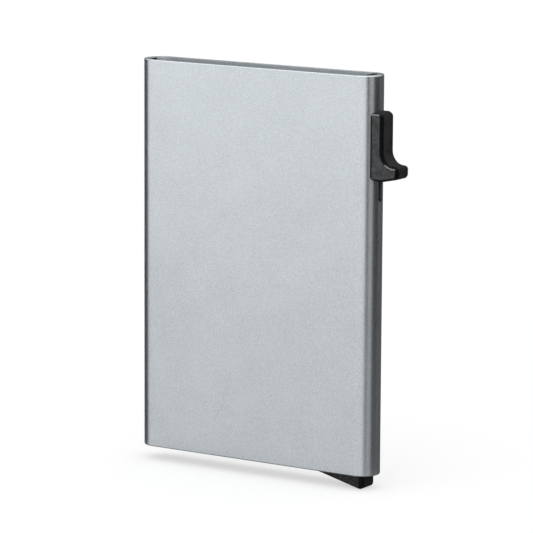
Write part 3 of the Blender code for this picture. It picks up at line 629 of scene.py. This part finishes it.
class CARD_HOLDER_OT_thumb_slider(bpy.types.Operator):
    """Model the thumb slider, with its hollow, crowned rim and rounded faces"""

    bl_idname = "card_holder.thumb_slider"
    bl_label = "Thumb slider"

    def execute(self, context):
        sizes = context.scene.card_holder_sizes
        case_right = CASE.x + HALF_WIDTH
        outer = case_right + sizes.pad_stand_off
        inner = case_right - sizes.pad_wrap
        tip = SLIDER_HIGH.x + sizes.pad_rise / 2
        top = SLIDER_HIGH.z + sizes.pad_rise
        foot_top = top - sizes.pad_above_foot
        tip_bottom = foot_top - sizes.foot_depth
        root_bottom = tip_bottom - sizes.foot_rise
        half = sizes.pad_flat / 2
        slider = add_box("thumb_slider_moulding", (inner, -half, root_bottom), (outer, half, top))
        bpy.ops.mesh.select_all(action="SELECT")
        bpy.ops.mesh.bisect(plane_co=(outer, 0.0, foot_top), plane_no=(0.0, 0.0, 1.0))
        pick("FACE", lambda place, normal: normal.x > FACING and place.z < foot_top)
        bpy.ops.mesh.extrude_region_move(TRANSFORM_OT_translate={"value": (tip - outer, 0.0, 0.0)})
        pick("VERT", lambda place, normal: near(place.x, tip) and near(place.z, root_bottom))
        move(z=sizes.foot_rise)
        bpy.ops.mesh.select_all(action="SELECT")
        bpy.ops.mesh.dissolve_limited(angle_limit=FLAT)

        # Each corner as seen from the front: place, radius and facets of its rounding
        corners = (
            (outer, foot_top, sizes.thumb_hollow, 20),
            (tip, foot_top, sizes.foot_tip, 12),
            (tip, tip_bottom, sizes.foot_tip, 12),
            (outer, top, sizes.pad_corner, 14),
            (inner, top, sizes.wrap_corner, 12),
            (inner, root_bottom, sizes.wrap_corner, 12),
        )
        for x, z, radius, steps in corners:
            corner = Vector((x, 0.0, z))
            round_edges(lambda place, normal: (place - corner).length < NEAR, radius, steps)
        face_depth = (SLIDER_HIGH.y - SLIDER_LOW.y) / 2 - half
        pick("FACE", lambda place, normal: abs(normal.y) > FACING)
        bpy.ops.mesh.inset(thickness=sizes.pad_crown, depth=face_depth, use_even_offset=True)
        # The second inset leaves a ring on each face for the rounded edge and the painted shadow beside the case
        bpy.ops.mesh.inset(thickness=sizes.pad_edge + sizes.pad_shadow_outline, use_even_offset=True)
        round_sharp(sizes.pad_edge, steps=8)
        close_piece(slider)
        self.cut_side(slider, sizes)
        self.cut_pocket(slider, sizes)
        soften(slider, 0.0, smooth=12.0)
        names = ("spark_eroded_abs_rim", "spark_eroded_abs_face", "polished_abs_band",
                 "polished_abs_edge")
        fit(slider, "thumb_slider", *map(moulded_abs, names))
        broad, band, edge = 1, 2, 3
        face_on, part_on, upward = 0.95, 0.5, 0.75
        face_edge = inner + sizes.pad_crown + sizes.pad_edge
        outline = face_edge + sizes.pad_shadow_outline
        for face in slider.data.polygons:
            flat_on = abs(face.normal.y)
            # A thin strip of the face beside the case is coloured dark as a painted shadow
            if flat_on > face_on and face_edge < face.center.x < outline:
                face.material_index = band
            # The broad faces take the lighter colour, partly painted light
            elif flat_on > face_on and face.center.x > face_edge:
                face.material_index = broad
            # Edges that face up take the painted highlight
            elif flat_on > part_on and face.normal.z > upward * math.sqrt(1 - flat_on ** 2):
                face.material_index = edge
            # The rim's sloping bands are darker, and edges that face down or sideways are darker as painted shade
            elif abs(face.center.y) > half + NEAR:
                face.material_index = band
        return {"FINISHED"}

    def cut_side(self, slider, sizes):
        """The hollow that hugs the case's round side."""
        bore = add_drum("case_side_cutter", CASE + Vector((SIDE_AXIS, 0.0, SLIDER_HIGH.z / 2)),
                        HALF_THICKNESS + sizes.slider_gap, 2 * SLIDER_HIGH.z, sizes.round_steps)
        pick("VERT", lambda place, normal: place.x < CASE.x + SIDE_AXIS - NEAR)
        move(x=-SIDE_AXIS)
        close_piece(bore)
        combine(slider, bore, "DIFFERENCE")

    def cut_pocket(self, slider, sizes):
        """The blind pocket that the carriage's tongue is pressed into."""
        low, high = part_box("slide_carriage")
        half = sizes.tongue_thickness / 2 + sizes.slider_gap
        bottom = low.z + sizes.tongue_foot - sizes.slider_gap
        top = bottom + sizes.tongue_height + 2 * sizes.slider_gap
        pocket = add_box("tongue_pocket", (high.x - sizes.tongue_length, -half, bottom),
                         (high.x + sizes.slider_gap, half, top))
        close_piece(pocket)
        combine(slider, pocket, "DIFFERENCE")


class CARD_HOLDER_OT_mouldings(bpy.types.Operator):
    """Finish the lever, block, plate and carriage, and the guides with their dark plugs as painted shade"""

    bl_idname = "card_holder.mouldings"
    bl_label = "Mouldings"

    def execute(self, context):
        sizes = context.scene.card_holder_sizes
        matt, dull = moulded_abs("matt_moulded_abs"), moulded_abs("dull_moulded_abs")
        lever = copy_node("ejector_lever", "ejector_lever_moulding")
        self.round_toe(lever, sizes)
        self.free_leg(lever, sizes)
        soften(lever, 0.0)
        names = ("lever_moulded_abs", "lever_end_abs", "polished_toe_band")
        fit(lever, "ejector_lever", *map(moulded_abs, names))
        # The toe's end has less gloss; its round upright edge takes the dark colour as painted shade
        toe_end, toe_shade = 1, 2
        turned = 0.2
        for face in lever.data.polygons:
            if face.center.z < CASE.z and face.normal.x > turned:
                face.material_index = toe_shade if face.normal.y < -turned else toe_end
        for node in ("base_block", "base_plate", "slide_carriage"):
            piece = copy_node(node, node + "_moulding")
            soften(piece, sizes.inner_edge)
            fit(piece, node, matt)
        rails = (("guide_rail_left", -1, sizes.plug_left),
                 ("guide_rail_right", 1, sizes.plug_right))
        for node, side, width in rails:
            piece = copy_node(node, node + "_moulding")
            soften(piece, sizes.inner_edge)
            self.add_plug(piece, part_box(node)[1].z, side, width, sizes)
            soften(piece, 0.0)
            fit(piece, node, dull)
        return {"FINISHED"}

    def add_plug(self, rail, rail_top, side, width, sizes):
        """A dark plug that closes the tube's round end beside the cards, up to just below the rim, standing in for
        the shade there.
        """
        radius = HALF_THICKNESS - sizes.face_wall
        end = HALF_WIDTH - sizes.side_wall
        overlap = 1 * MM
        bottom, top = rail_top - overlap, SHELL_HIGH.z - sizes.plug_depth
        centre = CASE + Vector((side * (end - radius), 0.0, (bottom + top) / 2 - CASE.z))
        plug = add_drum(rail.name + "_plug", centre, radius - sizes.slider_gap, top - bottom,
                        steps=96)
        bpy.ops.mesh.select_all(action="SELECT")
        bpy.ops.mesh.bisect(plane_co=(CASE.x + side * (end - width), 0.0, 0.0),
                            plane_no=(side, 0.0, 0.0), threshold=0.1 * NEAR, use_fill=True,
                            clear_inner=True)
        close_piece(plug)
        combine(rail, plug, "UNION")

    def free_leg(self, lever, sizes):
        """Room beside the pin for the spring's lower leg, which the lever turns past."""
        low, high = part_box("return_spring")
        reach = math.hypot(low.x - PIVOT.x, sizes.coil_radius) + 2 * sizes.wire_radius
        depth = 2 * (high.y - low.y)
        centre = (PIVOT.x, low.y - sizes.wire_radius + depth / 2, PIVOT.z)
        room = add_drum("leg_room", centre, reach, depth, steps=96,
                        turn=(QUARTER_TURN, 0.0, 0.0))
        start, end = math.radians(195), math.radians(247)
        for bearing, side in ((start, 1), (end, -1)):
            bpy.ops.mesh.select_all(action="SELECT")
            across = (-math.sin(bearing) * side, 0.0, math.cos(bearing) * side)
            bpy.ops.mesh.bisect(plane_co=PIVOT, plane_no=across, use_fill=True, clear_inner=True)
        close_piece(room)
        combine(lever, room, "DIFFERENCE")

    def round_toe(self, lever, sizes):
        """Round the upright edge between the toe's front and its end."""
        low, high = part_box("ejector_lever")
        radius = sizes.toe_round
        centre = Vector((high.x - radius, low.y + radius, 0.0))
        tall = 2 * CASE.z
        corner = add_box("toe_corner_cutter", (centre.x, low.y - radius, -tall / 2),
                         (high.x + radius, centre.y, tall))
        close_piece(corner)
        drum = add_drum("toe_corner_drum", centre, radius, 3 * tall, steps=64)
        close_piece(drum)
        combine(corner, drum, "DIFFERENCE")
        combine(lever, corner, "DIFFERENCE")


class CARD_HOLDER_OT_metalwork(bpy.types.Operator):
    """Model the steel rod, rivets, pin and screws"""

    bl_idname = "card_holder.metalwork"
    bl_label = "Metalwork"

    def execute(self, context):
        sizes = context.scene.card_holder_sizes
        rod = copy_node("push_rod", "push_rod_steel")
        soften(rod, sizes.steel_edge)
        # The rod is coloured dark as painted shade seen through the slot
        fit(rod, "push_rod", drawn_steel("blackened_steel_strip"))
        across = drawn_steel("drawn_steel_pin")
        fit(self.add_pin("lever_pin", sizes.pin_chamfer), "lever_pin", across)
        rivet = self.add_pin("rod_rivet_lower", sizes.rivet_dome)
        self.fit_twins(rivet, "rod_rivet_lower", "rod_rivet_upper", across)
        screw = self.add_screw("base_screw_outer", sizes)
        upright = drawn_steel("drawn_steel_strip")
        self.fit_twins(screw, "base_screw_outer", "base_screw_inner", upright)
        return {"FINISHED"}

    def fit_twins(self, piece, node, other, material):
        """Fit a piece to its node, and a copy with a mesh of its own to another node like it."""
        twin = bpy.data.objects.new(other + "_steel", piece.data.copy())
        bpy.context.scene.collection.objects.link(twin)
        twin.data.name = twin.name
        activate(twin)
        bpy.ops.object.mode_set(mode="EDIT")
        bpy.ops.mesh.select_all(action="SELECT")
        move(*(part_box(other)[0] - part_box(node)[0]))
        close_piece(twin)
        fit(piece, node, material)
        fit(twin, other, material)

    def add_pin(self, node, rounding):
        """A pin along Y: rounded ends, each with the shallow dimple of a centre drill."""
        low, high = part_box(node)
        centre = (low + high) / 2
        radius, half = (high.z - low.z) / 2, (high.y - low.y) / 2
        dimple, sunk = radius * 0.8, radius * 0.15
        pin = add_drum(node + "_steel", centre, radius, 2 * half, steps=48,
                       turn=(QUARTER_TURN, 0.0, 0.0))
        pick("FACE", lambda place, normal: abs(normal.y) > FACING)
        bpy.ops.mesh.inset(thickness=dimple, depth=-sunk)

        def is_rim(place, normal):
            far_out = math.hypot(place.x - centre.x, place.z - centre.z) > radius * 0.9
            return far_out and near(abs(place.y - centre.y), half)

        round_edges(is_rim, rounding, steps=5)
        close_piece(pin)
        soften(pin, 0.0)
        return pin

    def add_screw(self, node, sizes):
        """A countersunk screw, head down, with a ridged shank, a point and a hexagon socket."""
        low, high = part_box(node)
        middle = (low + high) / 2
        head, shank, pitch = (high.x - low.x) / 2, sizes.screw_shank, sizes.thread_pitch
        land, point = sizes.screw_head / 6, shank * 0.1
        socket_radius, socket_depth = head * 0.45, head * 0.4
        groove, flank = pitch * 0.2, pitch * 0.4
        screw = add_drum(node + "_steel", (middle.x, middle.y, low.z + land / 2), head, land,
                         steps=48)
        pick("FACE", lambda place, normal: normal.z > FACING)
        radius, height = head, low.z + land

        def grow_to(new_radius, new_height):
            nonlocal radius, height
            rise = (0.0, 0.0, new_height - height)
            bpy.ops.mesh.extrude_region_move(TRANSFORM_OT_translate={"value": rise})
            share = new_radius / radius
            bpy.ops.transform.resize(value=(share, share, 1.0),
                                     center_override=(middle.x, middle.y, new_height))
            radius, height = new_radius, new_height

        root = shank - flank
        grow_to(root, low.z + sizes.screw_head)
        while height + 2 * pitch < high.z:
            grow_to(root, height + groove)
            grow_to(shank, height + flank)
            grow_to(root, height + flank)
        grow_to(point, high.z)
        close_piece(screw)
        socket = add_drum("hexagon_socket", (middle.x, middle.y, low.z), socket_radius,
                          2 * socket_depth, steps=6)
        close_piece(socket)
        combine(screw, socket, "DIFFERENCE")
        soften(screw, 0.0, smooth=50.0)
        return screw


class CARD_HOLDER_OT_return_spring(bpy.types.Operator):
    """Wind the return spring round the lever's pin"""

    bl_idname = "card_holder.return_spring"
    bl_label = "Return spring"

    def execute(self, context):
        sizes = context.scene.card_holder_sizes
        low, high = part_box("return_spring")
        wire, coil, turns = sizes.wire_radius, sizes.coil_radius, sizes.coil_turns
        drop = -turns * sizes.coil_pitch
        steps_in_wire, steps_in_turn = 20, 56
        bpy.ops.mesh.primitive_circle_add(vertices=steps_in_wire, radius=wire,
                                          location=(coil, 0.0, 0.0))
        spring = close_piece(open_piece("return_spring_wire"))
        activate(spring)
        bpy.ops.object.modifier_add(type="SCREW")
        winding = spring.modifiers[-1]
        winding.axis = "Y"
        winding.angle = turns * 2 * math.pi
        winding.screw_offset = drop
        winding.steps = winding.render_steps = round(turns * steps_in_turn)
        bpy.ops.object.modifier_apply(modifier=winding.name)
        bpy.ops.object.mode_set(mode="EDIT")
        upper = Vector((coil, 0.0, 0.0))
        lower = Vector((0.0, drop, -coil))
        top_leg = Vector((high.x - PIVOT.x - wire, 0.0, high.z - PIVOT.z)) - upper
        self.draw_leg(upper, top_leg, wire)
        self.draw_leg(lower, Vector((low.x - PIVOT.x, 0.0, 0.0)), wire)
        bpy.ops.mesh.select_all(action="SELECT")
        bpy.ops.mesh.normals_make_consistent(inside=False)
        move(PIVOT.x, high.y - wire, PIVOT.z)
        close_piece(spring)
        soften(spring, 0.0)
        fit(spring, "return_spring", drawn_steel("drawn_spring_wire"))
        return {"FINISHED"}

    def draw_leg(self, end, leg, wire):
        """Draw a straight leg out of one end of the coil and close it."""
        pick("VERT", lambda place, normal: (place - end).length < wire + NEAR)
        bpy.ops.mesh.select_mode(type="EDGE")
        bend = 0.1
        for share in (bend, 1 - bend):
            bpy.ops.mesh.extrude_region_move(TRANSFORM_OT_translate={"value": leg * share})
        bpy.ops.mesh.edge_face_add()


class CARD_HOLDER_OT_soft_parts(bpy.types.Operator):
    """Soften the edges of the felt strips and the rubber stop"""

    bl_idname = "card_holder.soft_parts"
    bl_label = "Felt and rubber"

    def execute(self, context):
        sizes = context.scene.card_holder_sizes
        felt = pressed_felt()
        for place in ("front_left", "front_right", "back_left", "back_right"):
            node = "felt_" + place
            piece = copy_node(node, node + "_strip")
            soften(piece, sizes.felt_edge)
            fit(piece, node, felt)
        stop = copy_node("lever_stop", "lever_stop_rubber")
        soften(stop, sizes.rubber_edge, steps=5)
        fit(stop, "lever_stop", moulded_rubber())
        return {"FINISHED"}


class CARD_HOLDER_OT_studio(bpy.types.Operator):
    """Set up the floor, the light and the camera"""

    bl_idname = "card_holder.studio"
    bl_label = "Studio"

    def execute(self, context):
        studio = context.scene.card_holder_studio
        self.add_floor()
        self.add_light(context, studio)
        self.add_cards()
        self.add_camera(context, studio)
        context.scene.view_settings.view_transform = "Standard"
        return {"FINISHED"}

    def add_floor(self):
        width, sunk = 8.0, 0.05 * MM
        bpy.ops.mesh.primitive_plane_add(size=width, location=(0.0, 0.0, -sunk))
        floor = close_piece(open_piece("studio_floor"))
        floor.data.materials.append(studio_floor())

    def add_light(self, context, studio):
        world = bpy.data.worlds.new("studio_room")
        context.scene.world = world
        world.use_nodes = True
        tree = world.node_tree
        strength = add_node(tree, "ShaderNodeMapRange",
                            values={"To Min": studio.room_light, "To Max": 1.0},
                            links={"Value": looked_at(tree)})
        background = tree.nodes["Background"]
        background.inputs["Color"].default_value = WHITE
        tree.links.new(strength.outputs["Result"], background.inputs["Strength"])
        bpy.ops.object.light_add(type="SUN", location=(0.0, 0.0, 1.0),
                                 rotation=(studio.key_lean, 0.0, studio.key_turn))
        key = bpy.context.object
        key.name = "key_light"
        key.data.energy = studio.key_light
        key.data.angle = studio.key_spread

    def add_cards(self):
        """Cards that only show in reflections: dark flags and dim reflectors round the case, the
        floor as the case mirrors it, dimmer close by as painted shade of the case, and a flag on
        the floor under the case as a painted shadow."""
        right, left = CASE.x + SIDE_AXIS, CASE.x - SIDE_AXIS
        close_by, near_by, far_off = 8 * MM, 14 * MM, 150 * MM
        rim = SHELL_HIGH.z
        low, tall = rim + 2 * MM, 260 * MM
        # Name, axis, radius, foot, height, azimuths in degrees, light at the floor and the rim
        cards = (
            ("flag_right_front", right, near_by, 0.0, low, 37.1, 54.1, 0.22, 0.01),
            ("reflector_right", right, near_by, 0.0, low, 55.8, 72.8, 0.38, 0.46),
            ("flag_right_side", right, near_by, 0.0, low, 74.5, 121.9, 0.09, 0.01),
            ("reflector_right_back", right, close_by, 0.0, low, 111.6, 194.8, 0.115, 0.11),
            ("flag_left_side", left, near_by, 0.0, low, -100.5, -52.5, 0.03, 0.03),
            ("flag_above_back", CASE.x, far_off, rim, tall, -190, -100, 0.27, 0.27),
        )
        for name, axis_x, radius, foot, height, start, end, at_floor, at_rim in cards:
            card = self.add_card(name, axis_x, radius, foot, height, start, end)
            self.light_card(card, card_material(name + "_face", at_floor, at_rim))
        film = 0.02 * MM
        # The ground as mirrored is dimmer near the case, as painted shade of the case on the floor
        dim, bright, inner, outer = 0.69, 0.98, 330 * MM, 540 * MM
        ground = close_piece(add_disc("reflected_ground", (0.0, 0.0, film), outer, steps=96))
        face = card_material("reflected_ground_face", dim, bright, inner, outer, outward=True)
        self.light_card(ground, face)
        # A dark flag under the case: a painted shadow that the case's lower edges mirror
        dark, margin = 0.1, 7 * MM
        contact = add_disc("flag_under_case", (CASE.x, 0.0, 2 * film), HALF_THICKNESS + margin,
                           steps=64)
        pull_apart(X_AXIS, CASE.x, SIDE_AXIS)
        self.light_card(close_piece(contact), card_material("flag_under_case_face", dark, dark))

    def light_card(self, card, material):
        """Give a card its light, and hide it but in reflections."""
        card.data.materials.append(material)
        for ray in ("camera", "diffuse", "shadow", "transmission"):
            setattr(card, "visible_" + ray, False)

    def add_card(self, name, axis_x, radius, foot, height, start, end):
        """A curved upright card, from one azimuth to another round an upright axis; 0 is front."""
        axis = (axis_x, 0.0, 0.0)
        start, end = math.radians(start), math.radians(end)
        bpy.ops.mesh.primitive_plane_add(size=height, rotation=(QUARTER_TURN, 0.0, QUARTER_TURN))
        card = open_piece(name)
        pick("VERT", lambda place, normal: place.y > 0)
        bpy.ops.mesh.delete(type="VERT")
        pick("VERT", lambda place, normal: True)
        move(axis_x, height / 2 - radius, height / 2 + foot)
        bpy.ops.transform.rotate(value=-start, orient_axis="Z", center_override=axis)
        bpy.ops.mesh.spin(steps=16, angle=end - start, center=axis, axis=(0.0, 0.0, -1.0))
        return close_piece(card)

    def add_camera(self, context, studio):
        azimuth, elevation, roll = studio.azimuth, studio.elevation, studio.roll
        level = math.cos(elevation)
        back = Vector((math.sin(azimuth) * level, -math.cos(azimuth) * level, math.sin(elevation)))
        right = Vector((math.cos(azimuth), math.sin(azimuth), 0.0))
        up = back.cross(right)
        rolled_right = right * math.cos(roll) + up * math.sin(roll)
        rolled_up = up * math.cos(roll) - right * math.sin(roll)
        place = Matrix((rolled_right, rolled_up, back)).transposed().to_4x4()
        place.translation = (SHELL_LOW + SHELL_HIGH) / 2 + back * studio.distance
        bpy.ops.object.camera_add()
        camera = bpy.context.object
        camera.name = "studio_camera"
        camera.matrix_world = place
        camera.data.sensor_width = 36.0
        camera.data.lens = studio.focal_pixels / IMAGE_WIDTH * camera.data.sensor_width
        camera.data.shift_x = (IMAGE_WIDTH / 2 - studio.centre_x) / IMAGE_WIDTH
        camera.data.shift_y = (studio.centre_y - IMAGE_WIDTH / 2) / IMAGE_WIDTH
        camera.data.clip_start = 0.01
        context.scene.camera = camera


class CARD_HOLDER_PT_panel(bpy.types.Panel):
    """Sizes, colours and steps of the card holder"""

    bl_label = "Card holder"
    bl_space_type = "VIEW_3D"
    bl_region_type = "UI"
    bl_category = "Card holder"

    def draw(self, context):
        for group in ("card_holder_sizes", "card_holder_colours", "card_holder_studio"):
            settings = getattr(context.scene, group)
            box = self.layout.box()
            for name in settings.__annotations__:
                box.prop(settings, name)
        for operator in STEPS:
            self.layout.operator(operator.bl_idname)


GROUPS = (CardHolderSizes, CardHolderColours, CardHolderStudio)
STEPS = (
    CARD_HOLDER_OT_studio,
    CARD_HOLDER_OT_case_shell,
    CARD_HOLDER_OT_thumb_slider,
    CARD_HOLDER_OT_mouldings,
    CARD_HOLDER_OT_metalwork,
    CARD_HOLDER_OT_return_spring,
    CARD_HOLDER_OT_soft_parts,
)


def register():
    for item in GROUPS + STEPS + (CARD_HOLDER_PT_panel,):
        bpy.utils.register_class(item)
    bpy.types.Scene.card_holder_sizes = PointerProperty(type=CardHolderSizes)
    bpy.types.Scene.card_holder_colours = PointerProperty(type=CardHolderColours)
    bpy.types.Scene.card_holder_studio = PointerProperty(type=CardHolderStudio)


def unregister():
    del bpy.types.Scene.card_holder_studio
    del bpy.types.Scene.card_holder_colours
    del bpy.types.Scene.card_holder_sizes
    for item in reversed(GROUPS + STEPS + (CARD_HOLDER_PT_panel,)):
        bpy.utils.unregister_class(item)


def main():
    register()
    bpy.ops.card_holder.studio()
    bpy.ops.card_holder.case_shell()
    bpy.ops.card_holder.thumb_slider()
    bpy.ops.card_holder.mouldings()
    bpy.ops.card_holder.metalwork()
    bpy.ops.card_holder.return_spring()
    bpy.ops.card_holder.soft_parts()


if __name__ == "__main__":
    main()
